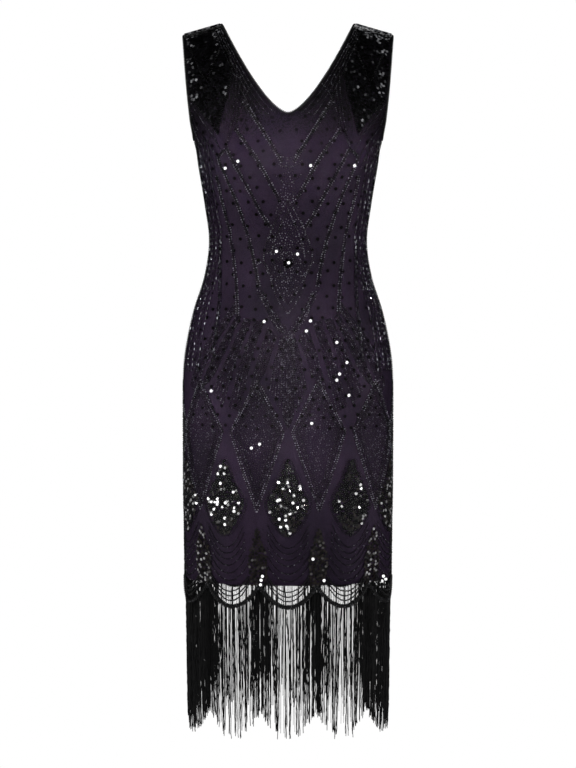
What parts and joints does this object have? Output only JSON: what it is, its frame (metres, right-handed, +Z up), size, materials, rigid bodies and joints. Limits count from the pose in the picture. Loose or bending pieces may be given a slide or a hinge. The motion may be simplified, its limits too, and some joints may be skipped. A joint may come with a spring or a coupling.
{
  "type": "flapper dress",
  "caption": "Sleeveless knee-length beaded net dress over a lining, worn but empty, with a V neck front and back, a scalloped hem and a long fringe.",
  "frame": {"origin": "midway between the two shoulder straps, level with their undersides, where the wearer's shoulders hold the dress up", "axes": "+Z up along the dress from hem to shoulders, -Y out of its front, +X towards the wearer's left"},
  "size_m": [0.3238, 0.2455, 1.08],
  "materials": {
    "net": "sheer black net, beaded and sequinned",
    "lining": "soft satin",
    "binding": "matte",
    "fringe": "glass beads and twisted thread"
  },
  "bodies": {
    "root": {"overlay_front": "net", "overlay_back": "net", "lining_front": "lining", "lining_back": "lining", "neck_binding": "binding", "armhole_binding_left": "binding", "armhole_binding_right": "binding", "fringe_front_1": "fringe", "fringe_front_2": "fringe", "fringe_front_3": "fringe", "fringe_front_4": "fringe", "fringe_front_5": "fringe", "fringe_back_1": "fringe", "fringe_back_2": "fringe", "fringe_back_3": "fringe", "fringe_back_4": "fringe", "fringe_back_5": "fringe"}
  },
  "joints": []
}
